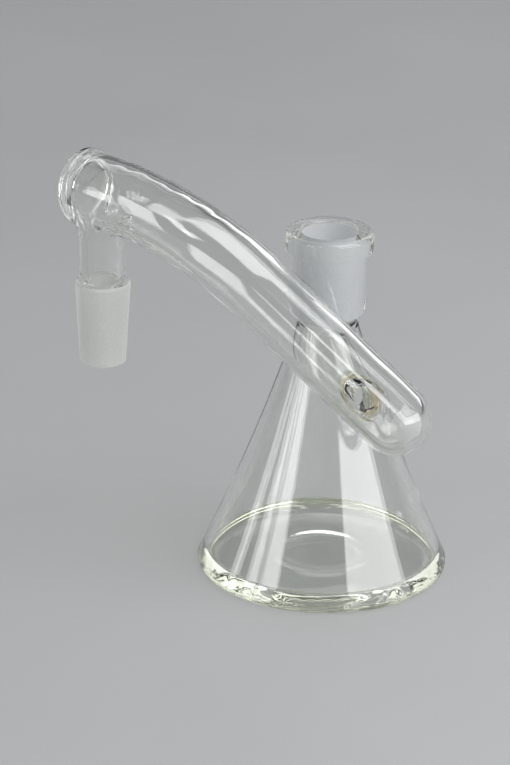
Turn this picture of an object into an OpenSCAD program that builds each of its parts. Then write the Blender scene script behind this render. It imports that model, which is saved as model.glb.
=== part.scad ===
// Conical dry trap with a bent side arm and two 14/23 ground joints, in clear borosilicate glass.
// The origin is the centre of the base on the table, +Z is up and the cone's axis is Z.
// The arm crosses the front (-Y) side of the cone, and its drop joint hangs at the left (-X).

/* [Body] */
// Outer diameter of the base, over its rounded heel
base_d = 67; // [63:0.5:71]
// Thickness of the base at the edge of its floor
base_t = 3.4; // [2.8:0.1:4.2]
// Depth of the shallow dish in the floor
dish_depth = 0.8; // [0.3:0.1:1.4]
// Radius of the rounded heel
heel_r = 1.4; // [1:0.1:1.8]
// Radius of the fillet between the floor and the wall
floor_fillet = 1.2; // [0.8:0.1:1.8]
// Wall of the cone
body_wall = 2.3; // [1.8:0.1:2.8]
// Height of the top of the cone
cone_h = 69; // [66:0.5:73]
// Outer diameter of the cone at its top
neck_d = 16.4; // [15.6:0.2:17.6]
// How far the side of the cone bows inwards
cone_bow = 1.3; // [0.6:0.1:1.8]
// Height of the fused waist between the cone and the socket
waist_h = 3; // [2:0.2:5]
// Depth of the groove round the fused waist
waist_groove = 0.5; // [0.2:0.1:0.8]

/* [Ground joints] */
// Large diameter of both ground joints
joint_d = 14.5; // [14:0.1:15]
// Length of both ground joints
joint_len = 23; // [20:0.5:26]
// Length over which the taper grows by one
joint_taper = 10; // [9:0.5:12]

/* [Socket] */
// Outer diameter of the socket
socket_d = 19.8; // [19:0.1:21]
// Radius of the rounded lower edge of the socket
socket_round = 1.8; // [1:0.1:2.2]
// Radius of the rounded lip of the mouth
lip_r = 0.8; // [0.4:0.1:1.2]
// Outer diameter of the rim collar
rim_d = 23.2; // [22.4:0.2:25]
// Height of the rim collar
rim_h = 5.6; // [4:0.2:8]
// Radius of the rounded edges of the rim collar
rim_round = 1.3; // [0.6:0.1:1.4]

/* [Arm] */
// Outer diameter of the arm tube in the bend
arm_d = 18.4; // [17.4:0.1:19.4]
// Outer diameter of the closed end
tip_d = 19; // [18:0.1:20]
// Wall of the arm tube
arm_wall = 1.8; // [1.4:0.1:2.4]
// Gap between the arm and the socket that it passes
arm_gap = 1.2; // [0.8:0.1:3]
// Plan angle of the straight run
arm_turn = 6; // [2:0.5:10]
// Slope of the straight run
arm_slope = 43.5; // [40:0.5:48]
// Height of the centre of the closed end
tip_h = 51.6; // [49:0.2:54]
// How far the closed end reaches past the point nearest to the cone's axis
tip_reach = 19.8; // [16:0.2:22]
// Length of the straight run
arm_run = 49.3; // [44:0.1:56]
// Radius of the bend, at the middle of the tube
bend_r = 56.6; // [50:0.2:62]
// Plan angle at the upper end of the bend
end_turn = 40.8; // [34:0.2:48]
// How far the upper end of the bend dips below level
end_dip = 3; // [0:0.5:6]
// Diameter of the flat disc that closes the upper end
cap_d = 20; // [19.2:0.2:22]
// Thickness of that disc
cap_t = 2; // [1.4:0.1:3]
// Radius of the rounded edges of that disc
cap_round = 0.6; // [0.2:0.1:0.7]

/* [Port] */
// Outer diameter of the port between the arm and the cone
port_d = 12; // [10.5:0.5:13]
// Bore of the port
port_bore = 7.8; // [6:0.2:8.6]
// Distance of the port from the centre of the closed end
port_along = 2; // [0.5:0.5:5]

/* [Drop joint] */
// Outer diameter of the stem
stem_d = 12.4; // [11.6:0.1:13]
// Bore of the stem and of the ground cone
stem_bore = 7.8; // [7:0.1:8.4]
// Distance of the stem's axis from the inner face of the end disc
stem_inset = 4.6; // [4.5:0.1:8]
// Drop from the arm's axis to the top of the ground cone
stem_drop = 24.4; // [19:0.2:32]
// Radius of the rounded shoulder of the ground cone
shoulder_r = 1.4; // [0.8:0.1:2]
// How far the weld flares out from the stem
weld_flare = 1.5; // [0.8:0.1:2.2]
// Height of the weld below the arm's lowest line
weld_drop = 2.2; // [1.2:0.1:4]

/* [Hidden] */
$fn = 96;
arc_fn = 1440;
over = 1;
lap_inset = 0.05;
glass = [0.84, 0.90, 0.87];
ground = [0.92, 0.93, 0.94];

// Cone: an arc from the heel to the top, hollow towards the outside
base_rad = base_d / 2;
neck_rad = neck_d / 2;
chord_lean = atan((base_rad - neck_rad) / (cone_h - heel_r));
chord_len = norm([base_rad - neck_rad, cone_h - heel_r]);
bow_rad = (pow(chord_len / 2, 2) + pow(cone_bow, 2)) / (2 * cone_bow);
foot_lean = chord_lean + asin(chord_len / 2 / bow_rad);
foot = [base_rad - heel_r + heel_r * cos(foot_lean), heel_r + heel_r * sin(foot_lean)];
chord = [neck_rad, cone_h] - foot;
chord_out = [chord.y, -chord.x] / norm(chord);
arc_rad = (pow(norm(chord) / 2, 2) + pow(cone_bow, 2)) / (2 * cone_bow);
arc_mid = foot + chord / 2 + chord_out * (arc_rad - cone_bow);
function cone_rad(z, inset = 0) = arc_mid.x - sqrt(pow(arc_rad + inset, 2) - pow(z - arc_mid.y, 2));

// Base: the plate inside, and the fused heel round it up to the seam with the cone
seam_z = base_t + floor_fillet;
seam_rad = cone_rad(seam_z, body_wall);
plate_rad = seam_rad - floor_fillet;
dish_rad = (pow(plate_rad, 2) + pow(dish_depth, 2)) / (2 * dish_depth);

// Socket, standing on the waist
socket_z = cone_h + waist_h;
rim_z = socket_z + joint_len;
socket_rad = socket_d / 2;
joint_rad = joint_d / 2;
joint_small = joint_rad - joint_len / joint_taper / 2;

// Arm: a straight run up from the closed end, and a bend that dips a little past its crest
arm_rad = arm_d / 2;
tip_rad = tip_d / 2;
arm_offset = socket_rad + tip_rad + arm_gap;
tip = [
    tip_reach * cos(arm_turn) - arm_offset * sin(arm_turn),
    -tip_reach * sin(arm_turn) - arm_offset * cos(arm_turn),
    tip_h
];
run_dir = [-cos(arm_slope) * cos(arm_turn), cos(arm_slope) * sin(arm_turn), sin(arm_slope)];
end_dir = [-cos(end_dip) * cos(end_turn), cos(end_dip) * sin(end_turn), -sin(end_dip)];
bend = acos(run_dir * end_dir);
bend_dir = (end_dir - run_dir * (run_dir * end_dir)) / sin(bend);
side_dir = cross(run_dir, bend_dir);
bend_mid = tip + run_dir * arm_run + bend_dir * bend_r;
function bend_point(a) = bend_mid + bend_r * (run_dir * sin(a) - bend_dir * cos(a));
end_face = bend_point(bend);

// Port: level, from the arm towards the cone's axis
port_from = tip + run_dir * port_along;
port_len = norm([port_from.x, port_from.y]);
port_turn = atan2(-port_from.y, -port_from.x);

// Drop joint: an upright stem under the crest of the bend
stem_at = bend_point(bend - asin(stem_inset / bend_r));
stem_rad = stem_d / 2;
drop_z = stem_at.z - stem_drop;
drop_tip_z = drop_z - joint_len;
weld_rise = weld_drop + arm_rad;
weld_round = (pow(weld_flare, 2) + pow(weld_drop, 2)) / (2 * weld_flare);

// Flat shapes in the plane of the radius and the height

// What lies within the cone's outer side, or within a side that lies deeper by inset
module cone_area(z0, z1, inset = 0) {
    difference() {
        translate([0, z0]) square([base_rad + over, z1 - z0]);
        translate(arc_mid) circle(arc_rad + inset, $fn = arc_fn);
    }
}

// A rectangle whose outer edges are rounded, above and below
module ring_area(r0, r1, z0, z1, round_low, round_high) {
    intersection() {
        translate([r0, z0]) square([r1 - r0, z1 - z0]);
        union() {
            polygon([
                [r0, z0], [r1 - round_low, z0], [r1, z0 + round_low],
                [r1, z1 - round_high], [r1 - round_high, z1], [r0, z1]
            ]);
            if (round_low > 0) translate([r1 - round_low, z0 + round_low]) circle(round_low);
            if (round_high > 0) translate([r1 - round_high, z1 - round_high]) circle(round_high);
        }
    }
}

// Solids that several pieces share

// The space that the arm fills, thinner by inset all round, with the bend longer by extra degrees
// The straight run ends in a spigot, thinner by lap_inset, that reaches into the bend
module arm_space(inset = 0, extra = 0) {
    r0 = tip_rad - inset;
    r1 = arm_rad - inset;
    multmatrix([
        [run_dir.x, bend_dir.x, side_dir.x, bend_mid.x],
        [run_dir.y, bend_dir.y, side_dir.y, bend_mid.y],
        [run_dir.z, bend_dir.z, side_dir.z, bend_mid.z],
        [0, 0, 0, 1]
    ]) {
        translate([-arm_run, -bend_r, 0]) rotate([0, 90, 0]) rotate_extrude() {
            polygon([
                [0, 0], [r0, 0], [r1, arm_run], [r1 - lap_inset, arm_run],
                [r1 - lap_inset, arm_run + over], [0, arm_run + over]
            ]);
            intersection() {
                circle(r0);
                translate([0, -r0]) square(r0);
            }
        }
        rotate(-90) rotate_extrude(angle = bend + extra) translate([bend_r, 0]) circle(r1);
    }
}

// The disc that closes the upper end
module cap_space() {
    translate(end_face) rotate([0, 90 + end_dip, 180 - end_turn])
        rotate_extrude() ring_area(0, cap_d / 2, 0, cap_t, cap_round, cap_round);
}

// A level rod along the port, from the arm's axis to the cone's axis
module port_rod(d) {
    translate(port_from) rotate([0, 90, port_turn]) cylinder(port_len, d = d);
}

// An upright rod along the stem
module stem_rod(d, z0, z1) {
    translate([stem_at.x, stem_at.y, z0]) cylinder(z1 - z0, d = d);
}

// Pieces

module cone_body() {
    color(glass) difference() {
        rotate_extrude() difference() {
            cone_area(seam_z, cone_h);
            cone_area(seam_z - over, cone_h + over, body_wall);
        }
        port_rod(port_bore);
    }
}

module base_plate() {
    color(glass) rotate_extrude() difference() {
        square([plate_rad, base_t]);
        translate([0, base_t + dish_rad - dish_depth]) circle(dish_rad, $fn = arc_fn);
    }
}

module heel_ring() {
    color(glass) rotate_extrude() difference() {
        union() {
            cone_area(foot.y, seam_z);
            ring_area(0, base_rad, 0, 2 * heel_r, heel_r, heel_r);
        }
        square([plate_rad, seam_z]);
        translate([seam_rad - floor_fillet, seam_z]) circle(floor_fillet);
    }
}

module waist_ring() {
    groove_rad = (pow(waist_h / 2, 2) + pow(waist_groove, 2)) / (2 * waist_groove);
    top_rad = socket_rad - socket_round;
    color(glass) rotate_extrude() difference() {
        polygon([
            [cone_rad(cone_h, body_wall), cone_h], [neck_rad, cone_h],
            [top_rad, socket_z], [joint_small, socket_z]
        ]);
        translate([(neck_rad + top_rad) / 2 + groove_rad - waist_groove, cone_h + waist_h / 2])
            circle(groove_rad);
    }
}

module joint_socket() {
    color(ground) rotate_extrude() {
        difference() {
            ring_area(0, socket_rad, socket_z, rim_z, socket_round, 0);
            polygon([
                [0, socket_z], [joint_small, socket_z], [joint_rad, rim_z - lip_r],
                [joint_rad + lip_r, rim_z], [0, rim_z]
            ]);
        }
        translate([joint_rad + lip_r, rim_z - lip_r]) circle(lip_r);
    }
}

module rim_collar() {
    color(glass) rotate_extrude()
        ring_area(socket_rad, rim_d / 2, rim_z - rim_h, rim_z, rim_round, rim_round);
}

module arm_tube() {
    color(glass) difference() {
        arm_space();
        arm_space(arm_wall, over);
        stem_rod(stem_bore, stem_at.z - arm_d, stem_at.z);
        port_rod(port_bore);
    }
}

module arm_cap() {
    color(glass) cap_space();
}

module port_tube() {
    color(glass) difference() {
        port_rod(port_d);
        port_rod(port_bore);
        arm_space();
        rotate_extrude() cone_area(seam_z, cone_h);
    }
}

module drop_stem() {
    color(glass) difference() {
        stem_rod(stem_d, drop_z, stem_at.z);
        stem_rod(stem_bore, drop_z - over, stem_at.z + over);
        arm_space();
        cap_space();
    }
}

module stem_weld() {
    color(glass) difference() {
        translate([stem_at.x, stem_at.y, stem_at.z - weld_rise]) rotate_extrude()
            translate([stem_rad, 0]) difference() {
                square([weld_flare, weld_rise]);
                translate([weld_round, 0]) circle(weld_round);
            }
        arm_space();
        // What would lie past the inner face of the end disc
        translate(end_face) rotate([0, 90 + end_dip, 180 - end_turn])
            translate([-cap_d, -cap_d, 0]) cube([2 * cap_d, 2 * cap_d, cap_d]);
    }
}

module ground_cone() {
    top_round = joint_rad - shoulder_r;
    color(ground) translate([stem_at.x, stem_at.y, drop_tip_z]) rotate_extrude() difference() {
        union() {
            polygon([
                [0, 0], [joint_small, 0], [joint_rad, joint_len - shoulder_r],
                [top_round, joint_len], [0, joint_len]
            ]);
            translate([top_round, joint_len - shoulder_r]) circle(shoulder_r);
        }
        translate([-over, -over]) square([stem_bore / 2 + over, joint_len + 2 * over]);
    }
}

cone_body();
base_plate();
heel_ring();
waist_ring();
joint_socket();
rim_collar();
arm_tube();
arm_cap();
port_tube();
drop_stem();
stem_weld();
ground_cone();
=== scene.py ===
"""Looks of the conical dry trap: worked glass, cut from one unbroken skin, and turned glass."""
import math
from collections import Counter

import bmesh
import bpy
import numpy as np
from mathutils import Matrix, Vector


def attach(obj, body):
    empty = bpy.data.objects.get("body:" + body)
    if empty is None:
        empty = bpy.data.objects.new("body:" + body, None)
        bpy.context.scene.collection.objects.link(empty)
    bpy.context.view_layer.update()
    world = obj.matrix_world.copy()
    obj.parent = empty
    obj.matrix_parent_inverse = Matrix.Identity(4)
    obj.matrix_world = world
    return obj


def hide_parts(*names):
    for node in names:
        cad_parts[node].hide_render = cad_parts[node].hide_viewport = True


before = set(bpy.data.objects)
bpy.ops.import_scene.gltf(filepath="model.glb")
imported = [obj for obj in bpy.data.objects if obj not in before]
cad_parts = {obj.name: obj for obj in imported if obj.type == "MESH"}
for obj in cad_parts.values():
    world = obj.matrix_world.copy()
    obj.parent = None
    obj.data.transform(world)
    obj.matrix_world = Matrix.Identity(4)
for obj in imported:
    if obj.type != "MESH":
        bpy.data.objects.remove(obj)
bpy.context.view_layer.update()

# Sizes in millimetres and degrees, as the CAD model has them
MM = 0.001
BASE_RAD, BASE_T, DISH_DEPTH, HEEL_R, FLOOR_FILLET = 33.5, 3.4, 0.8, 1.4, 1.2
BODY_WALL, CONE_H, NECK_RAD, CONE_BOW = 2.3, 69, 8.2, 1.3
WAIST_H, WAIST_GROOVE = 3, 0.5
JOINT_RAD, JOINT_LEN, JOINT_TAPER = 7.25, 23, 10
SOCKET_RAD, SOCKET_ROUND, LIP_R = 9.9, 1.8, 0.8
RIM_RAD, RIM_H, RIM_ROUND = 11.6, 5.6, 1.3
ARM_RAD, TIP_RAD, ARM_WALL, ARM_GAP = 9.2, 9.5, 1.8, 1.2
ARM_TURN, ARM_SLOPE, TIP_H, TIP_REACH = 6, 43.5, 51.6, 19.8
ARM_RUN, BEND_R, END_TURN, END_DIP = 49.3, 56.6, 40.8, 3
CAP_RAD, CAP_T, CAP_ROUND = 10, 2, 0.6
PORT_BORE, PORT_ALONG = 3.9, 2
STEM_RAD, STEM_BORE, STEM_INSET, STEM_DROP = 6.2, 3.9, 4.6, 24.4
SHOULDER_R, WELD_DROP = 1.4, 2.2

# Sizes of the glassblower's softening, which the CAD model leaves plain
PORT_NECK, PORT_BLEND, PORT_BORE_BLEND = 5.3, 2.6, 0.8
WELD_BLEND, STEM_BORE_BLEND = 5.0, 6.0
CAP_BLEND, END_ROUND, END_SKIN = 1.2, 4.0, 0.3
STEM_FILLET, TIP_EDGE, COLLAR_FILLET = 0.8, 0.4, 0.8
WALL_WAVE, WALL_WAVE_LEN = 0.08, 16
BEND_WAVE, BEND_WAVE_LEN, BEND_WAVE_GROWS = 0.05, 6.5, 22
SPOT_RAD, SPOT_RISE, SPOT_BLEND = 4.2, 0.5, 0.7
WELD_LUMP, WELD_LUMP_LEN, WELD_LUMP_REACH, WELD_LUMP_DROP = 0.35, 4.5, 2.6, 0.3
DISH_RIDGE, DISH_RIDGE_RAD, DISH_RIDGE_WIDTH = 0.6, 12.5, 1.9
DISH_WAVE, DISH_WAVE_LEN = 0.16, 14

# How steeply a spot of the bend faces up where its fine waves start, and how much more until they are full
BEND_TOP_FROM, BEND_TOP_SPAN = 0.68, 0.22

# The crossed waves that add up to unevenness: direction, pace and phase
WAVES = (
    ((0.62, 0.51, -0.60), 1, 0),
    ((-0.35, 0.80, 0.49), 1.31, 1.7),
    ((0.71, -0.12, 0.69), 0.83, 4.1),
)

# Where the skin is cut into pieces: places and reaches of the cuts
PORT_HALF, PORT_REACH = 0.45, 8.6
WELD_SEAM_DROP, WELD_REACH = 1.2, 9.4
DISC_SEAM, DISC_REACH = 0.9, 16
FOOT_REACH, NECK_REACH, STEM_REACH = 40, 14, 11

# How far the stain runs past the port's seams and from its axis, and the grinding up the shoulder
AMBER_PAST, AMBER_RAD = 1.2, 6.5
GROUND_UP = 40

# Fineness of the meshes
SEGMENTS = 160
SKIN_STEP, GRID_MARGIN, CUT_SNAP = 0.85, 2.6, 0.01
SETTLE_ROUNDS, SETTLE_DRAWS, REFINE_DRAWS = 4, 2, 3
FINE_AT_END, FINE_AT_PORT, FINE_AT_SPOT = 14, 11, 6
PROBE, TINY = 0.02, 1e-6

# Materials of the faces, in the order of the list MATERIALS
CLEAR, SEAM, GROUND, THICK, AMBER, GROUND_BORE, HEEL, SPOT = range(8)


def arm_heading(slope, sideways):
    """Unit vector that points to -X, turned by sideways degrees towards +Y and raised by slope degrees."""
    a, b = math.radians(slope), math.radians(sideways)
    return np.array([-math.cos(a) * math.cos(b), math.cos(a) * math.sin(b), math.sin(a)])


def bow_radius(half_chord, bow):
    """Radius of the arc that stands off its chord by bow."""
    return (half_chord ** 2 + bow ** 2) / (2 * bow)


# The cone's side: an arc, hollow towards the outside
def cone_arc():
    """Centre (radius, height) and radius of the arc, and the lean of the heel where the arc starts."""
    rise, run = CONE_H - HEEL_R, BASE_RAD - NECK_RAD
    half = math.hypot(rise, run) / 2
    lean = math.atan(run / rise) + math.asin(half / bow_radius(half, CONE_BOW))
    foot = np.array([BASE_RAD - HEEL_R + HEEL_R * math.cos(lean), HEEL_R + HEEL_R * math.sin(lean)])
    chord = np.array([NECK_RAD, CONE_H]) - foot
    span = np.linalg.norm(chord)
    rad = bow_radius(span / 2, CONE_BOW)
    out = np.array([chord[1], -chord[0]]) / span
    return foot + chord / 2 + out * (rad - CONE_BOW), rad, lean


ARC_MID, ARC_RAD, FOOT_LEAN = cone_arc()


def cone_rad(z, inset=0):
    """Radius of the cone's side at a height, or of the face that lies deeper by inset."""
    return ARC_MID[0] - math.sqrt((ARC_RAD + inset) ** 2 - (z - ARC_MID[1]) ** 2)


SEAM_Z = BASE_T + FLOOR_FILLET
SEAM_RAD = cone_rad(SEAM_Z, BODY_WALL)
PLATE_RAD = SEAM_RAD - FLOOR_FILLET
SOCKET_Z = CONE_H + WAIST_H
RIM_Z = SOCKET_Z + JOINT_LEN
JOINT_SMALL = JOINT_RAD - JOINT_LEN / JOINT_TAPER / 2

# The arm: a straight run up from the closed end, then a bend to the end disc
TURN = math.radians(ARM_TURN)
ARM_OFFSET = SOCKET_RAD + TIP_RAD + ARM_GAP
TIP = np.array([
    TIP_REACH * math.cos(TURN) - ARM_OFFSET * math.sin(TURN),
    -TIP_REACH * math.sin(TURN) - ARM_OFFSET * math.cos(TURN),
    TIP_H,
])
RUN_DIR = arm_heading(ARM_SLOPE, ARM_TURN)
END_DIR = arm_heading(-END_DIP, END_TURN)
BEND = math.acos(RUN_DIR @ END_DIR)
BEND_DIR = (END_DIR - RUN_DIR * (RUN_DIR @ END_DIR)) / math.sin(BEND)
SIDE_DIR = np.cross(RUN_DIR, BEND_DIR)
BEND_MID = TIP + RUN_DIR * ARM_RUN + BEND_DIR * BEND_R


def bend_point(a):
    """The point of the arm's axis at an angle along the bend."""
    return BEND_MID + BEND_R * (RUN_DIR * math.sin(a) - BEND_DIR * math.cos(a))


# The end disc, and the stem that hangs under the arm's upper end
END_FACE = bend_point(BEND)
STEM_AT = bend_point(BEND - math.asin(STEM_INSET / BEND_R))
DROP_Z = STEM_AT[2] - STEM_DROP
DROP_TIP_Z = DROP_Z - JOINT_LEN
SHOULDER_MID = (JOINT_RAD - SHOULDER_R, DROP_Z - SHOULDER_R)
FILLET_OUT = STEM_RAD + STEM_FILLET - SHOULDER_MID[0]
STEM_SEAM_Z = SHOULDER_MID[1] + math.sqrt((SHOULDER_R + STEM_FILLET) ** 2 - FILLET_OUT ** 2)
WELD_LOW_Z = STEM_AT[2] - ARM_RAD - WELD_DROP
WELD_LUMP_Z = STEM_AT[2] - ARM_RAD - WELD_LUMP_DROP
WELD_SEAM_Z = STEM_AT[2] - ARM_RAD - WELD_SEAM_DROP
UP = np.array([0.0, 0.0, 1.0])

# The port: level, from the arm's axis to the cone's axis
PORT_FROM = TIP + RUN_DIR * PORT_ALONG
PORT_LEN = math.hypot(PORT_FROM[0], PORT_FROM[1])
PORT_DIR = np.array([-PORT_FROM[0], -PORT_FROM[1], 0]) / PORT_LEN

# The round spot that closing the arm left: a shallow bowl in the domed end's inside
SPOT_DIR = np.array([0.343, -0.927, 0.146])
DOME_RAD = TIP_RAD - ARM_WALL
SPOT_DEEP = DOME_RAD + SPOT_RISE - math.sqrt(DOME_RAD ** 2 - SPOT_RAD ** 2)
SPOT_BALL = bow_radius(SPOT_RAD, SPOT_DEEP)
SPOT_MID = TIP + SPOT_DIR * (DOME_RAD + SPOT_RISE - SPOT_BALL)

# How far the stem's field runs on past the seam that cuts it, and the least length that is divided by
STEM_RUN_ON = 2
LEAST_RAY = 1


# The field of the glass: below zero inside it, and about a distance near its skin
def length(v):
    return np.sqrt((v * v).sum(-1))


def soft_min(a, b, blend):
    """The smaller of two fields, rounded over a width of blend where they meet."""
    h = np.maximum(blend - np.abs(a - b), 0) / blend
    return np.minimum(a, b) - h ** 3 * blend / 6


def soft_max(a, b, blend):
    return -soft_min(-a, -b, blend)


def wave(p, wave_len):
    """Gentle unevenness between -1 and 1, the same on each run."""
    k = 2 * math.pi / wave_len
    return sum(np.sin(pace * k * (p @ np.array(way)) + phase) for way, pace, phase in WAVES) / len(WAVES)


def cone_field(p, inset):
    rho = np.hypot(p[..., 0], p[..., 1])
    return ARC_RAD + inset - np.hypot(rho - ARC_MID[0], p[..., 2] - ARC_MID[1])


def rod_field(p, start, direction, reach, radius):
    q = p - start
    t = q @ direction
    side = length(q - t[..., None] * direction) - radius
    return np.maximum(side, np.maximum(-t, t - reach))


def arm_axis(p):
    """Distance from the arm's axis, and the distance along it from the centre of the closed end."""
    q = p - BEND_MID
    x, y, w = q @ RUN_DIR, q @ BEND_DIR, q @ SIDE_DIR
    straight = np.hypot(y + BEND_R, w)
    bent = np.hypot(np.hypot(x, y) - BEND_R, w)
    along = np.where(x < 0, x + ARM_RUN, ARM_RUN + BEND_R * np.arctan2(x, -y))
    away = np.where(x < 0, straight, bent)
    return np.where(along < 0, length(p - TIP), away), along


def arm_rad(along):
    return TIP_RAD + (ARM_RAD - TIP_RAD) * np.clip(along / ARM_RUN, 0, 1)


def disc_field(p):
    """The end disc with its rounded edges."""
    q = p - END_FACE
    t = q @ END_DIR
    r = length(q - t[..., None] * END_DIR)
    over_r = r - (CAP_RAD - CAP_ROUND)
    over_t = np.abs(t - CAP_T / 2) - (CAP_T / 2 - CAP_ROUND)
    out = np.hypot(np.maximum(over_r, 0), np.maximum(over_t, 0))
    return out + np.minimum(np.maximum(over_r, over_t), 0) - CAP_ROUND


def stem_field(p, radius):
    foot = np.array([STEM_AT[0], STEM_AT[1], DROP_Z - STEM_RUN_ON])
    return rod_field(p, foot, UP, STEM_AT[2] - foot[2], radius)


def weld_lumps(p):
    """Lumps that the flame leaves round the top of the stem."""
    up = (p[..., 2] - WELD_LUMP_Z) / WELD_LUMP_REACH
    out = np.hypot(p[..., 0] - STEM_AT[0], p[..., 1] - STEM_AT[1]) / (2 * STEM_RAD)
    return WELD_LUMP * wave(p, WELD_LUMP_LEN) * np.exp(-up ** 2 - out ** 4)


def bend_wave(p, along):
    """Finer waves that bending left along the top of the arm's inside, which grow towards its upper end."""
    q = p - BEND_MID
    flat = q - (q @ SIDE_DIR)[..., None] * SIDE_DIR
    ray = q - flat * (BEND_R / np.maximum(length(flat), LEAST_RAY))[..., None]
    upwards = ray[..., 2] / np.maximum(length(ray), LEAST_RAY)
    grown = np.clip((along - ARM_RUN) / BEND_WAVE_GROWS, 0, 1)
    grown = grown * np.clip((upwards - BEND_TOP_FROM) / BEND_TOP_SPAN, 0, 1)
    return BEND_WAVE * wave(p, BEND_WAVE_LEN) * grown


def glass_field(p):
    """The worked glass: arm, end disc, stem, port and cone, less the hollow inside them."""
    away, along = arm_axis(p)
    past = (p - END_FACE) @ END_DIR
    rad = arm_rad(along)
    body = soft_min(np.maximum(away - rad, past), disc_field(p), CAP_BLEND)
    body = soft_min(body, stem_field(p, STEM_RAD), WELD_BLEND) + weld_lumps(p)
    body = soft_min(body, rod_field(p, PORT_FROM, PORT_DIR, PORT_LEN, PORT_NECK), PORT_BLEND)
    body = soft_min(body, cone_field(p, 0), PORT_BLEND)
    wall = ARM_WALL + WALL_WAVE * wave(p, WALL_WAVE_LEN) + bend_wave(p, along)
    hollow = soft_max(away - rad + wall, past + END_SKIN, END_ROUND)
    hollow = soft_min(hollow, length(p - SPOT_MID) - SPOT_BALL, SPOT_BLEND)
    hollow = soft_min(hollow, stem_field(p, STEM_BORE), STEM_BORE_BLEND)
    hollow = soft_min(hollow, rod_field(p, PORT_FROM, PORT_DIR, PORT_LEN, PORT_BORE), PORT_BORE_BLEND)
    hollow = soft_min(hollow, cone_field(p, BODY_WALL), PORT_BORE_BLEND)
    return np.maximum(body, -hollow)


def gradient(field, p):
    """Unit direction in which the field grows, and how fast it does."""
    steps = PROBE * np.eye(3)
    g = np.stack([field(p + s) - field(p - s) for s in steps], -1) / (2 * PROBE)
    size = np.maximum(length(g), TINY)
    return g / size[:, None], size


# The skin as a mesh: one vertex in each grid cell that the skin crosses, drawn onto the skin
def skin(field, low, high, step):
    """Vertices and quads of the surface where the field is zero, facing outwards."""
    axes = [np.arange(a, b + step, step) for a, b in zip(low, high)]
    value = field(np.stack(np.meshgrid(*axes, indexing="ij"), -1))
    inside = value < 0
    cells = np.array(value.shape) - 1
    total = np.zeros((3, cells.prod()))
    count = np.zeros(cells.prod())
    quads = []
    for axis in range(3):
        unit = np.eye(3, dtype=int)[axis]
        b, c = (axis + 1) % 3, (axis + 2) % 3
        near = np.take(inside, range(cells[axis]), axis)
        far = np.take(inside, range(1, cells[axis] + 1), axis)
        at = np.argwhere(near != far)
        at = at[((at[:, [b, c]] > 0) & (at[:, [b, c]] < cells[[b, c]])).all(1)]
        v0, v1 = value[tuple(at.T)], value[tuple((at + unit).T)]
        cross = np.array(low) + step * (at + np.outer(v0 / (v0 - v1), unit))
        ring = []
        for db, dc in ((-1, -1), (0, -1), (0, 0), (-1, 0)):
            cell = at.copy()
            cell[:, b] += db
            cell[:, c] += dc
            ring.append(np.ravel_multi_index(cell.T, cells))
            count += np.bincount(ring[-1], minlength=len(count))
            for k in range(3):
                total[k] += np.bincount(ring[-1], cross[:, k], len(count))
        ring = np.array(ring).T
        ring[v0 >= 0] = ring[v0 >= 0][:, ::-1]
        quads.append(ring)
    used = count > 0
    index = np.cumsum(used) - 1
    return (total[:, used] / count[used]).T, index[np.vstack(quads)]


def drawn(field, verts, rounds):
    """The vertices drawn onto the surface where the field is zero."""
    for _ in range(rounds):
        normal, slope = gradient(field, verts)
        verts = verts - normal * (field(verts) / slope)[:, None]
    return verts


def settled(field, verts, quads):
    """The vertices evened out over the surface, and drawn back onto it."""
    pairs = np.vstack([quads[:, [k, (k + 1) % 4]] for k in range(4)])
    ends = np.vstack([pairs, pairs[:, ::-1]])
    valence = np.bincount(ends[:, 0], minlength=len(verts))[:, None]
    for _ in range(SETTLE_ROUNDS):
        mean = np.stack([np.bincount(ends[:, 0], verts[ends[:, 1], k], len(verts)) for k in range(3)], -1)
        verts = drawn(field, (verts + mean / valence) / 2, SETTLE_DRAWS)
    return verts


# Seams where the skin is cut: a point of the plane, the plane's direction, and the reach round the point
def seams():
    mouth = np.array([0, 0, PORT_FROM[2]]) - PORT_DIR * cone_rad(PORT_FROM[2])
    cone_out = gradient(lambda p: cone_field(p, 0), mouth[None])[0][0]
    arm_out = PORT_DIR - RUN_DIR * (PORT_DIR @ RUN_DIR)
    arm_out /= np.linalg.norm(arm_out)
    flank = PORT_FROM + PORT_DIR * TIP_RAD / (PORT_DIR @ arm_out)
    port_mid = (mouth + flank) / 2
    to_arm = (cone_out - arm_out) / np.linalg.norm(cone_out - arm_out)
    stem = np.array([STEM_AT[0], STEM_AT[1], 0])
    return {
        "foot": (UP * SEAM_Z, UP, FOOT_REACH),
        "neck": (UP * CONE_H, UP, NECK_REACH),
        "mouth": (port_mid - to_arm * PORT_HALF, to_arm, PORT_REACH),
        "flank": (port_mid + to_arm * PORT_HALF, to_arm, PORT_REACH),
        "disc": (END_FACE + END_DIR * DISC_SEAM, END_DIR, DISC_REACH),
        "weld_high": (stem + UP * WELD_SEAM_Z, -UP, WELD_REACH),
        "weld_low": (stem + UP * WELD_LOW_Z, -UP, STEM_REACH),
        "stem": (stem + UP * STEM_SEAM_Z, -UP, STEM_REACH),
    }


SEAMS = seams()


def past_seam(name, p):
    """How far points lie past a seam, on the side that its direction points to."""
    at, direction, _ = SEAMS[name]
    return (p - at) @ direction


def near_seam(name, p):
    """True for points within a seam's reach."""
    at, _, reach = SEAMS[name]
    return length(p - at) < reach


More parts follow.
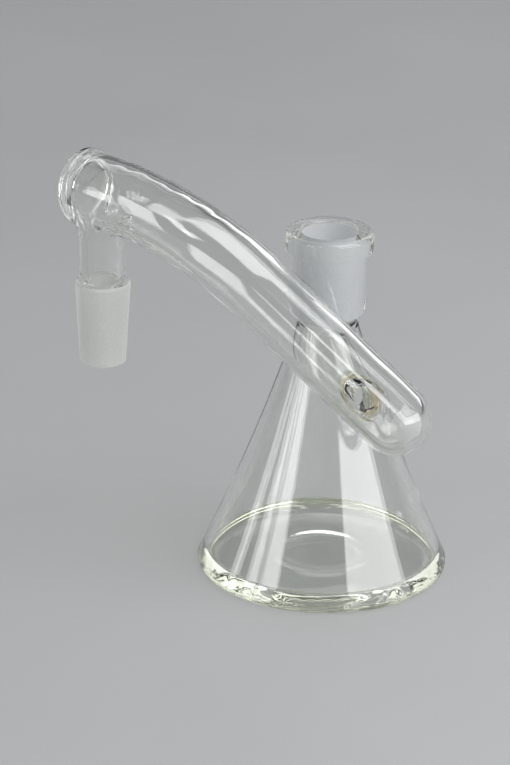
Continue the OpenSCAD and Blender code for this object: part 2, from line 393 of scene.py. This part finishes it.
def node_of(p):
    """The name of the node that each point of the skin belongs to, or an empty name outside them all."""
    away, along = arm_axis(p)
    cone = np.abs(np.maximum(cone_field(p, 0), -cone_field(p, BODY_WALL)))
    arm = np.abs(away - arm_rad(along) + ARM_WALL / 2)
    name = np.where(cone < arm, "cone_body", "arm_tube").astype(object)
    at_port = near_seam("mouth", p) | near_seam("flank", p)
    in_cone, in_arm = past_seam("mouth", p) < 0, past_seam("flank", p) > 0
    name[at_port & ~in_cone & ~in_arm] = "port_tube"
    name[at_port & in_cone & ~in_arm] = "cone_body"
    name[at_port & in_arm & ~in_cone] = "arm_tube"
    name[(name == "cone_body") & ((past_seam("foot", p) < 0) | (past_seam("neck", p) > 0))] = ""
    at_stem = np.hypot(p[:, 0] - STEM_AT[0], p[:, 1] - STEM_AT[1]) < WELD_REACH
    name[at_stem & (past_seam("weld_high", p) > 0)] = "stem_weld"
    name[at_stem & (past_seam("weld_low", p) > 0)] = "drop_stem"
    name[at_stem & (past_seam("stem", p) > 0)] = ""
    name[(name == "arm_tube") & (past_seam("disc", p) > 0) & near_seam("disc", p)] = "arm_cap"
    return name


# Materials. Scales of noise are in features per metre, and a ripple is a scale, a depth in mm and a strength
GLASS_IOR = 1.474
TINT_SCALE, HAZE_SCALE, HAZE_LEAST = 45, 160, 0.6
POLISHED_RIPPLE, HEEL_RIPPLE = (70, 0.05, 0.12), (150, 0.5, 0.55)
POLISHED_HAZE, SPOT_HAZE, SPOT_VEIL = 0.02, 0.22, 0.34
GRAIN_TONE_SCALE, GRAIN_ROUGH_SCALE, GRAIN_SCALE = 2400, 1800, 5000
GRAIN_ROUGH, GRAIN_DEPTH, GRAIN_STRENGTH = (0.7, 0.85), 0.03, 0.4
GROUND_CLEARNESS, GRAIN_PASSES, CONE_VEIL, BORE_VEIL = 0.5, 0.35, 0.3, 0.85

# What a face of glass lets through of the light of lamps
CLEAR_PASSES, GROUND_PASSES = (0.915, 0.92, 0.91, 1), (0.6, 0.61, 0.61, 1)


def new_material(name):
    mat = bpy.data.materials.new(name)
    mat.use_nodes = True
    mat.node_tree.nodes.clear()
    return mat, mat.node_tree.nodes, mat.node_tree.links


def noise(nodes, links, scale, detail=2.0):
    """Noise in the object's own space."""
    coords = nodes.new("ShaderNodeTexCoord")
    tex = nodes.new("ShaderNodeTexNoise")
    tex.inputs["Scale"].default_value = scale
    tex.inputs["Detail"].default_value = detail
    links.new(coords.outputs["Object"], tex.inputs["Vector"])
    return tex.outputs["Fac"]


def ramp(nodes, links, source, low, high, start=0.35, end=0.65):
    node = nodes.new("ShaderNodeValToRGB")
    node.color_ramp.elements[0].position = start
    node.color_ramp.elements[1].position = end
    node.color_ramp.elements[0].color = low
    node.color_ramp.elements[1].color = high
    links.new(source, node.inputs["Fac"])
    return node.outputs["Color"]


def grey(value):
    return (value, value, value, 1)


def bump(nodes, links, source, depth_mm, strength):
    node = nodes.new("ShaderNodeBump")
    node.inputs["Strength"].default_value = strength
    node.inputs["Distance"].default_value = depth_mm * MM
    links.new(source, node.inputs["Height"])
    return node.outputs["Normal"]


def mixed(nodes, links, first, second, share):
    """A shader with the given share of the second of two shaders."""
    mix = nodes.new("ShaderNodeMixShader")
    mix.inputs[0].default_value = share
    links.new(first, mix.inputs[1])
    links.new(second, mix.inputs[2])
    return mix.outputs[0]


def glass_shader(nodes, clearness):
    glass = nodes.new("ShaderNodeBsdfPrincipled")
    glass.inputs["IOR"].default_value = GLASS_IOR
    glass.inputs["Transmission Weight"].default_value = clearness
    return glass


def let_lamps_through(nodes, links, shader, tint):
    """Lamps and the floor's bounce light pass the glass straight, dimmed by tint."""
    path = nodes.new("ShaderNodeLightPath")
    either = nodes.new("ShaderNodeMath")
    either.operation = "MAXIMUM"
    clear = nodes.new("ShaderNodeBsdfTransparent")
    clear.inputs["Color"].default_value = tint
    mix = nodes.new("ShaderNodeMixShader")
    out = nodes.new("ShaderNodeOutputMaterial")
    links.new(path.outputs["Is Shadow Ray"], either.inputs[0])
    links.new(path.outputs["Is Diffuse Ray"], either.inputs[1])
    links.new(either.outputs[0], mix.inputs[0])
    links.new(shader, mix.inputs[1])
    links.new(clear.outputs[0], mix.inputs[2])
    links.new(mix.outputs[0], out.inputs["Surface"])


def clear_glass(name, pale, deep, haze=POLISHED_HAZE, veil=0, ripple=POLISHED_RIPPLE):
    """Fire-polished glass, with a tint between two tones and a roughness up to haze.

    Veil is the share of light that its skin scatters, and ripple is the unevenness of the skin.
    """
    mat, nodes, links = new_material(name)
    glass = glass_shader(nodes, 1.0)
    links.new(ramp(nodes, links, noise(nodes, links, TINT_SCALE), deep, pale), glass.inputs["Base Color"])
    smears = noise(nodes, links, HAZE_SCALE, detail=4)
    rough = ramp(nodes, links, smears, grey(HAZE_LEAST * haze), grey(haze), start=0.5, end=0.8)
    links.new(rough, glass.inputs["Roughness"])
    scale, depth, strength = ripple
    links.new(bump(nodes, links, noise(nodes, links, scale), depth, strength), glass.inputs["Normal"])
    shader = glass.outputs[0]
    if veil:
        scatter = nodes.new("ShaderNodeBsdfDiffuse")
        scatter.inputs["Color"].default_value = pale
        shader = mixed(nodes, links, shader, scatter.outputs[0], veil)
    let_lamps_through(nodes, links, shader, CLEAR_PASSES)
    return mat


def seam_glass():
    """Where two pieces are fused: nothing shows inside solid glass."""
    mat, nodes, links = new_material("fused_seam")
    clear = nodes.new("ShaderNodeBsdfTransparent")
    out = nodes.new("ShaderNodeOutputMaterial")
    links.new(clear.outputs[0], out.inputs["Surface"])
    return mat


def ground_glass(name, low, high, veil):
    """Evenly ground glass, between two tones. Veil is the share of light that the grain scatters."""
    mat, nodes, links = new_material(name)
    glass = glass_shader(nodes, GROUND_CLEARNESS)
    tone = ramp(nodes, links, noise(nodes, links, GRAIN_TONE_SCALE, detail=4), low, high, start=0.3, end=0.7)
    links.new(tone, glass.inputs["Base Color"])
    smooth, coarse = GRAIN_ROUGH
    rough = ramp(nodes, links, noise(nodes, links, GRAIN_ROUGH_SCALE, detail=4), grey(smooth), grey(coarse))
    links.new(rough, glass.inputs["Roughness"])
    pits = noise(nodes, links, GRAIN_SCALE, detail=3)
    links.new(bump(nodes, links, pits, GRAIN_DEPTH, GRAIN_STRENGTH), glass.inputs["Normal"])
    front = nodes.new("ShaderNodeBsdfDiffuse")
    back = nodes.new("ShaderNodeBsdfTranslucent")
    links.new(tone, front.inputs["Color"])
    links.new(tone, back.inputs["Color"])
    grain = mixed(nodes, links, front.outputs[0], back.outputs[0], GRAIN_PASSES)
    shader = mixed(nodes, links, glass.outputs[0], grain, veil)
    let_lamps_through(nodes, links, shader, GROUND_PASSES)
    return mat


MATERIALS = [
    clear_glass("clear_glass", (0.992, 0.997, 0.99, 1), (0.98, 0.99, 0.975, 1)),
    seam_glass(),
    ground_glass("ground_glass", (0.81, 0.81, 0.79, 1), (0.90, 0.90, 0.88, 1), CONE_VEIL),
    clear_glass("thick_glass", (0.97, 0.98, 0.945, 1), (0.955, 0.97, 0.915, 1)),
    clear_glass("amber_glass", (0.90, 0.82, 0.62, 1), (0.83, 0.70, 0.44, 1)),
    ground_glass("ground_bore", (0.79, 0.81, 0.84, 1), (0.87, 0.89, 0.92, 1), BORE_VEIL),
    clear_glass("heel_glass", (0.82, 0.865, 0.72, 1), (0.77, 0.82, 0.65, 1), ripple=HEEL_RIPPLE),
    clear_glass("spot_glass", (0.90, 0.905, 0.90, 1), (0.86, 0.865, 0.86, 1), SPOT_HAZE, SPOT_VEIL),
]


# Pieces
def finish_piece(name, verts, faces, kinds, normals):
    """A mesh object from vertices in millimetres, with a material and corner normals for each face."""
    mesh = bpy.data.meshes.new(name)
    mesh.from_pydata((np.asarray(verts) * MM).tolist(), [], faces)
    for mat in MATERIALS:
        mesh.materials.append(mat)
    mesh.polygons.foreach_set("material_index", kinds)
    mesh.polygons.foreach_set("use_smooth", [True] * len(faces))
    mesh.normals_split_custom_set(normals)
    mesh.update()
    piece = bpy.data.objects.new(name + "_glass", mesh)
    bpy.context.scene.collection.objects.link(piece)
    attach(piece, "root")
    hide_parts(name)


# Worked pieces: the skin of the worked glass, cut along its seams
def refine(bm):
    """Halves the faces round the end disc, the port and the spot, and draws the skin tight again."""
    middles = np.array([f.calc_center_median() for f in bm.faces])
    port = PORT_FROM + PORT_DIR * TIP_RAD
    spot = TIP + SPOT_DIR * DOME_RAD
    fine = (length(middles - STEM_AT) < FINE_AT_END) | (length(middles - port) < FINE_AT_PORT)
    fine |= length(middles - spot) < FINE_AT_SPOT
    edges = dict.fromkeys(e for f, hit in zip(bm.faces, fine) if hit for e in f.edges)
    bmesh.ops.subdivide_edges(bm, edges=list(edges), cuts=1, use_grid_fill=True)
    verts = drawn(glass_field, np.array([v.co for v in bm.verts]), REFINE_DRAWS)
    for v, place in zip(bm.verts, verts):
        v.co = place


def whole_skin():
    """The skin of the worked glass, in one."""
    margin = GRID_MARGIN
    low = [END_FACE[0] - CAP_RAD - margin, -BASE_RAD - margin, SEAM_Z - margin]
    high = [BASE_RAD + margin, BASE_RAD + margin, STEM_AT[2] + CAP_RAD + margin]
    verts, quads = skin(glass_field, low, high, SKIN_STEP)
    verts = settled(glass_field, verts, quads)
    mesh = bpy.data.meshes.new("skin")
    mesh.from_pydata(verts.tolist(), [], quads.tolist())
    bm = bmesh.new()
    bm.from_mesh(mesh)
    bpy.data.meshes.remove(mesh)
    refine(bm)
    return bm


def cut_seams(bm):
    """Cuts the skin's faces along the seams, within the reach of each."""
    for name, (at, direction, _) in SEAMS.items():
        middles = np.array([f.calc_center_median() for f in bm.faces])
        faces = [f for f, near in zip(bm.faces, near_seam(name, middles)) if near]
        verts = dict.fromkeys(v for f in faces for v in f.verts)
        edges = dict.fromkeys(e for f in faces for e in f.edges)
        geom = [*verts, *edges, *faces]
        bmesh.ops.bisect_plane(bm, geom=geom, dist=CUT_SNAP, plane_co=at, plane_no=direction)


def at_amber(p):
    """True on the skin in and round the port, which is stained."""
    across = p - PORT_FROM
    across = across - PORT_DIR * (across @ PORT_DIR)
    between = past_seam("mouth", p) > -AMBER_PAST and past_seam("flank", p) < AMBER_PAST
    return between and np.linalg.norm(across) < AMBER_RAD


def skin_kind(name, face):
    """The material of a face of the skin."""
    if name == "arm_cap":
        return THICK
    p = np.array(face.calc_center_median())
    if at_amber(p):
        return AMBER
    q = p - TIP
    on_spot = np.linalg.norm(q - SPOT_DIR * DOME_RAD) < SPOT_RAD
    inside = np.linalg.norm(q) < TIP_RAD - ARM_WALL / 3
    return SPOT if on_spot and inside else CLEAR


def close_seams(part):
    """Closes a piece along the seams that cut it, facing outwards."""
    edges = [e for e in part.edges if e.is_boundary]
    ends = np.array([[v.co for v in e.verts] for e in edges])
    off = np.stack([np.abs(past_seam(seam, ends)).max(1) for seam in SEAMS])
    far = np.stack([~near_seam(seam, ends.mean(1)) for seam in SEAMS])
    nearest = np.where(far, np.inf, off).argmin(0)
    for k in range(len(SEAMS)):
        loop = [e for e, n in zip(edges, nearest) if n == k]
        if not loop:
            continue
        uses = Counter(v for e in loop for v in e.verts)
        loose = [v for v, n in uses.items() if n == 1]
        if len(loose) == 2:
            # Another seam crosses this one here: an edge along the crossing closes both
            crossing = part.edges.get(loose) or part.edges.new(loose)
            if crossing not in loop:
                loop.append(crossing)
        bmesh.ops.triangle_fill(part, use_beauty=True, edges=loop)
    bmesh.ops.recalc_face_normals(part, faces=list(part.faces))


def worked_piece(name, part):
    """A piece from its part of the skin. The field's slope gives the normals."""
    skin_faces = set(part.faces)
    close_seams(part)
    part.verts.index_update()
    part.normal_update()
    verts = np.array([v.co for v in part.verts])
    out = gradient(glass_field, verts)[0]
    faces, kinds, normals = [], [], []
    for f in part.faces:
        on_skin = f in skin_faces
        faces.append([v.index for v in f.verts])
        kinds.append(skin_kind(name, f) if on_skin else SEAM)
        normals += [out[v.index] if on_skin else f.normal for v in f.verts]
    finish_piece(name, verts, faces, kinds, normals)


def worked_pieces():
    bm = whole_skin()
    cut_seams(bm)
    names = node_of(np.array([f.calc_center_median() for f in bm.faces]))
    for name in ("cone_body", "port_tube", "arm_tube", "arm_cap", "stem_weld", "drop_stem"):
        part = bm.copy()
        drop = [f for f, n in zip(part.faces, names) if n != name]
        bmesh.ops.delete(part, geom=drop, context="FACES")
        worked_piece(name, part)
        part.free()
    bm.free()


# Turned pieces: an outline in the plane of radius and height, with the glass on its left
TURNS = np.arange(SEGMENTS) * 2 * math.pi / SEGMENTS


def line(a, b, kind=CLEAR):
    """A straight run of an outline: its material, points and outward directions."""
    a, b = np.array(a, float), np.array(b, float)
    d = (b - a) / np.linalg.norm(b - a)
    return kind, np.array([a, b]), np.array([[d[1], -d[0]]] * 2)


def arc(mid, rad, start, end, kind=CLEAR, steps=12):
    """An arc from start to end degrees. It faces away from its middle if it runs anticlockwise."""
    a = np.radians(np.linspace(start, end, steps + 1))
    ray = np.stack([np.cos(a), np.sin(a)], -1)
    return kind, np.array(mid) + rad * ray, ray if end > start else -ray


def angle_to(mid, point):
    return math.degrees(math.atan2(point[1] - mid[1], point[0] - mid[0]))


def swept(points, axis):
    """The vertices of points turned about an upright axis, and each point's ring of vertices."""
    verts, rings = [], []
    for r, z in points:
        first = len(verts)
        if r < TINY:
            verts.append((axis[0], axis[1], z))
            rings.append([first] * SEGMENTS)
        else:
            verts += [(axis[0] + r * math.cos(t), axis[1] + r * math.sin(t), z) for t in TURNS]
            rings.append(list(range(first, first + SEGMENTS)))
    return verts, rings


def turn(name, runs, axis=(0, 0), lift=None):
    """Turns a closed outline about an upright axis. Lift gives its top a relief, and its slopes."""
    points, rows = [], []
    for kind, pts, out in runs:
        for i in range(len(pts) - 1):
            rows.append((len(points), kind, out[i], out[i + 1]))
            points.append(pts[i])
    verts, rings = swept(points, axis)
    faces, kinds, normals = [], [], []
    for i, kind, out_i, out_j in rows:
        j = (i + 1) % len(points)
        if points[i][0] < TINY and points[j][0] < TINY:
            continue
        for k in range(SEGMENTS):
            m = (k + 1) % SEGMENTS
            face = {}
            for ring, out, q in ((i, out_i, k), (i, out_i, m), (j, out_j, m), (j, out_j, k)):
                face.setdefault(rings[ring][q], (out, TURNS[q]))
            faces.append(list(face))
            kinds.append(kind)
            normals += [(n[0] * math.cos(t), n[0] * math.sin(t), n[1]) for n, t in face.values()]
    if lift:
        verts, normals = lift(np.array(verts), faces, np.array(normals))
    finish_piece(name, verts, faces, kinds, normals)


def dish_relief(xy):
    """Height of the floor's unevenness: a low ridge from the paddle, and waves that end at the wall."""
    r = length(xy)
    ridge = DISH_RIDGE * np.exp(-((r - DISH_RIDGE_RAD) / DISH_RIDGE_WIDTH) ** 2)
    waves = DISH_WAVE * wave(np.column_stack([xy, 0 * r]), DISH_WAVE_LEN)
    return (ridge + waves) * np.clip(1 - (r / PLATE_RAD) ** 2, 0, 1) ** 2


def lift_dish(verts, faces, normals):
    """Gives the plate's top its relief, and tilts the normals of the faces that look up."""
    corners = np.array([v for face in faces for v in face])
    top = verts[:, 2] > BASE_T / 2
    looks_up = 0.5
    on_top = top[corners] & (normals[:, 2] > looks_up)
    xy = verts[corners][:, :2]
    steps = PROBE * np.eye(2)
    slope = np.stack([dish_relief(xy + s) - dish_relief(xy - s) for s in steps], -1) / (2 * PROBE)
    tilted = normals - np.column_stack([slope, np.zeros(len(slope))])
    normals[on_top] = (tilted / length(tilted)[:, None])[on_top]
    verts[top, 2] += dish_relief(verts[top, :2])
    return verts, normals


def base_plate():
    rad = bow_radius(PLATE_RAD, DISH_DEPTH)
    mid = (0, BASE_T - DISH_DEPTH + rad)
    turn("base_plate", [
        line((0, 0), (PLATE_RAD, 0)),
        line((PLATE_RAD, 0), (PLATE_RAD, BASE_T), SEAM),
        arc(mid, rad, angle_to(mid, (PLATE_RAD, BASE_T)), -90, steps=40),
        line((0, BASE_T - DISH_DEPTH), (0, 0)),
    ], lift=lift_dish)


def heel_ring():
    side = cone_rad(SEAM_Z)
    heel_mid = (BASE_RAD - HEEL_R, HEEL_R)
    foot = (heel_mid[0] + HEEL_R * math.cos(FOOT_LEAN), heel_mid[1] + HEEL_R * math.sin(FOOT_LEAN))
    start, end = (angle_to(ARC_MID, q) % 360 for q in (foot, (side, SEAM_Z)))
    turn("heel_ring", [
        line((PLATE_RAD, 0), (BASE_RAD - HEEL_R, 0), HEEL),
        arc(heel_mid, HEEL_R, -90, math.degrees(FOOT_LEAN), HEEL, steps=20),
        arc(ARC_MID, ARC_RAD, start, end, HEEL, steps=4),
        line((side, SEAM_Z), (SEAM_RAD, SEAM_Z), SEAM),
        arc((PLATE_RAD, SEAM_Z), FLOOR_FILLET, 0, -90, HEEL),
        line((PLATE_RAD, BASE_T), (PLATE_RAD, 0), SEAM),
    ])


def waist_ring():
    low, high = (NECK_RAD, CONE_H), (SOCKET_RAD - SOCKET_ROUND, SOCKET_Z)
    rad = bow_radius(WAIST_H / 2, WAIST_GROOVE)
    mid = ((low[0] + high[0]) / 2 + rad - WAIST_GROOVE, CONE_H + WAIST_H / 2)
    reach = math.hypot(low[0] - mid[0], low[1] - mid[1])
    inner = (cone_rad(CONE_H, BODY_WALL), CONE_H)
    turn("waist_ring", [
        line(inner, low, SEAM),
        arc(mid, reach, angle_to(mid, low) % 360, angle_to(mid, high), steps=16),
        line(high, (JOINT_SMALL, SOCKET_Z), SEAM),
        line((JOINT_SMALL, SOCKET_Z), inner),
    ])


def joint_socket():
    foot_rad = SOCKET_RAD - SOCKET_ROUND
    step_z = RIM_Z - RIM_H
    lip_mid = (JOINT_RAD + LIP_R, RIM_Z - LIP_R)
    turn("joint_socket", [
        line((JOINT_SMALL, SOCKET_Z), (foot_rad, SOCKET_Z), SEAM),
        arc((foot_rad, SOCKET_Z + SOCKET_ROUND), SOCKET_ROUND, -90, 0, steps=16),
        line((SOCKET_RAD, SOCKET_Z + SOCKET_ROUND), (SOCKET_RAD, step_z - COLLAR_FILLET)),
        line((SOCKET_RAD, step_z - COLLAR_FILLET), (SOCKET_RAD, RIM_Z), SEAM),
        line((SOCKET_RAD, RIM_Z), (lip_mid[0], RIM_Z)),
        arc(lip_mid, LIP_R, 90, 180),
        line((JOINT_RAD, lip_mid[1]), (JOINT_SMALL, SOCKET_Z), GROUND_BORE),
    ])


def rim_collar():
    step_z = RIM_Z - RIM_H
    edge = RIM_RAD - RIM_ROUND
    under = SOCKET_RAD + COLLAR_FILLET
    under_round = RIM_RAD - under
    turn("rim_collar", [
        arc((under, step_z - COLLAR_FILLET), COLLAR_FILLET, 180, 90, THICK),
        arc((under, step_z + under_round), under_round, -90, 0, THICK),
        line((RIM_RAD, step_z + under_round), (RIM_RAD, RIM_Z - RIM_ROUND), THICK),
        arc((edge, RIM_Z - RIM_ROUND), RIM_ROUND, 0, 90, THICK),
        line((edge, RIM_Z), (SOCKET_RAD, RIM_Z), THICK),
        line((SOCKET_RAD, RIM_Z), (SOCKET_RAD, step_z - COLLAR_FILLET), SEAM),
    ])


def ground_cone():
    tip_mid = (JOINT_SMALL - TIP_EDGE, DROP_TIP_Z + TIP_EDGE)
    fillet_mid = (STEM_RAD + STEM_FILLET, STEM_SEAM_Z)
    meet = angle_to(SHOULDER_MID, fillet_mid)
    turn("ground_cone", [
        line((STEM_BORE, DROP_TIP_Z), (tip_mid[0], DROP_TIP_Z), GROUND),
        arc(tip_mid, TIP_EDGE, -90, 0, GROUND, steps=6),
        line((JOINT_SMALL, tip_mid[1]), (JOINT_RAD, SHOULDER_MID[1]), GROUND),
        arc(SHOULDER_MID, SHOULDER_R, 0, GROUND_UP, GROUND, steps=6),
        arc(SHOULDER_MID, SHOULDER_R, GROUND_UP, meet),
        arc(fillet_mid, STEM_FILLET, meet + 180, 180),
        line((STEM_RAD, STEM_SEAM_Z), (STEM_BORE, STEM_SEAM_Z), SEAM),
        line((STEM_BORE, STEM_SEAM_Z), (STEM_BORE, DROP_TIP_Z)),
    ], axis=STEM_AT[:2])


worked_pieces()
base_plate()
heel_ring()
waist_ring()
joint_socket()
rim_collar()
ground_cone()

# Stage, in metres: a plain pale floor under soft lamps
FLOOR_HALF, FLOOR_GAP, FLOOR_ROUGH = 4.0, 0.0003, 0.7
FLOOR_DARK, FLOOR_PALE = (0.455, 0.46, 0.465, 1), (0.485, 0.49, 0.495, 1)
FLOOR_CLOUDS = 6
ROOM_TONE = (0.16, 0.165, 0.17, 1)
TARGET = np.array([-18.75, 0, 51.6]) * MM


def floor():
    low, high = -FLOOR_HALF, FLOOR_HALF
    mesh = bpy.data.meshes.new("floor")
    mesh.from_pydata([(low, low, 0), (high, low, 0), (high, high, 0), (low, high, 0)], [], [(0, 1, 2, 3)])
    mat, nodes, links = new_material("pale_floor")
    paint = nodes.new("ShaderNodeBsdfPrincipled")
    out = nodes.new("ShaderNodeOutputMaterial")
    tone = ramp(nodes, links, noise(nodes, links, FLOOR_CLOUDS, detail=3), FLOOR_DARK, FLOOR_PALE)
    links.new(tone, paint.inputs["Base Color"])
    paint.inputs["Roughness"].default_value = FLOOR_ROUGH
    links.new(paint.outputs[0], out.inputs["Surface"])
    mesh.materials.append(mat)
    plane = bpy.data.objects.new("floor", mesh)
    plane.location.z = -FLOOR_GAP
    bpy.context.scene.collection.objects.link(plane)


def heading(azimuth, elevation):
    """Direction from the object: azimuth 0 is towards the camera's side, and 90 towards +X."""
    a, e = math.radians(azimuth), math.radians(elevation)
    return np.array([math.sin(a) * math.cos(e), -math.cos(a) * math.cos(e), math.sin(e)])


def softbox(name, azimuth, elevation, distance, width, height, radiance, gloss=False):
    """A lamp that faces the object. A gloss only shows in reflections and through the glass."""
    data = bpy.data.lights.new(name, "AREA")
    data.shape = "RECTANGLE"
    data.size, data.size_y = width, height
    data.energy = radiance * math.pi * width * height
    lamp = bpy.data.objects.new(name, data)
    away = Vector(heading(azimuth, elevation))
    lamp.location = Vector(TARGET) + away * distance
    lamp.rotation_mode = "QUATERNION"
    lamp.rotation_quaternion = away.to_track_quat("Z", "Y")
    lamp.visible_diffuse = not gloss
    bpy.context.scene.collection.objects.link(lamp)


def studio():
    floor()
    softbox("right_high_softbox", 54, 55, 0.8, 0.70, 0.60, 3.4)
    softbox("right_high_gloss", 54, 55, 0.79, 0.70, 0.60, 2.0, gloss=True)
    softbox("right_low_softbox", 55, 11, 0.8, 0.85, 0.28, 2.4)
    softbox("right_low_gloss", 55, 11, 0.79, 0.85, 0.28, 2.6, gloss=True)
    softbox("left_softbox", -51, 17, 0.8, 0.24, 0.49, 3.2)
    softbox("left_gloss", -51, 17, 0.79, 0.24, 0.49, 2.0, gloss=True)
    softbox("left_edge_gloss", -69, 11, 0.79, 0.15, 0.26, 5.0, gloss=True)
    softbox("upper_gloss", -25, 36, 0.79, 0.10, 0.22, 6.0, gloss=True)
    softbox("left_side_gloss", -90, 11, 0.79, 0.10, 0.26, 4.5, gloss=True)
    softbox("back_right_softbox", 144, 22, 1.3, 0.75, 0.8, 1.0)
    softbox("back_left_softbox", -144, 22, 1.3, 0.6, 0.8, 0.9)
    softbox("back_top_softbox", 180, 46, 1.2, 0.9, 0.6, 1.4)
    world = bpy.data.worlds.new("studio")
    bpy.context.scene.world = world
    world.use_nodes = True
    world.node_tree.nodes["Background"].inputs["Color"].default_value = ROOM_TONE


# Camera at the photograph's viewing angle: metres, degrees and pixels
CAMERA_DISTANCE, CAMERA_ELEVATION, CAMERA_ROLL = 0.871, 22.84, 0.95
FOCAL_PX, FRAME_LONG_SIDE = 3290, 765


def camera():
    data = bpy.data.cameras.new("camera")
    data.sensor_width = 36
    data.lens = data.sensor_width * FOCAL_PX / FRAME_LONG_SIDE
    data.clip_start, data.clip_end = 0.01, 20
    back = heading(0, CAMERA_ELEVATION)
    right = np.array([1.0, 0, 0])
    up = np.cross(back, right)
    c, s = math.cos(math.radians(CAMERA_ROLL)), math.sin(math.radians(CAMERA_ROLL))
    axes = np.column_stack([c * right + s * up, c * up - s * right, back])
    cam = bpy.data.objects.new("camera", data)
    cam.matrix_world = Matrix.Translation(TARGET + back * CAMERA_DISTANCE) @ Matrix(axes.tolist()).to_4x4()
    bpy.context.scene.collection.objects.link(cam)
    bpy.context.scene.camera = cam


studio()
camera()

# Light passes many faces of glass before it leaves the part
scene = bpy.context.scene
scene.view_settings.view_transform = "Standard"
scene.cycles.max_bounces = 40
scene.cycles.transmission_bounces = 40
scene.cycles.glossy_bounces = 16
scene.cycles.transparent_max_bounces = 64
scene.cycles.caustics_reflective = False
scene.cycles.caustics_refractive = False
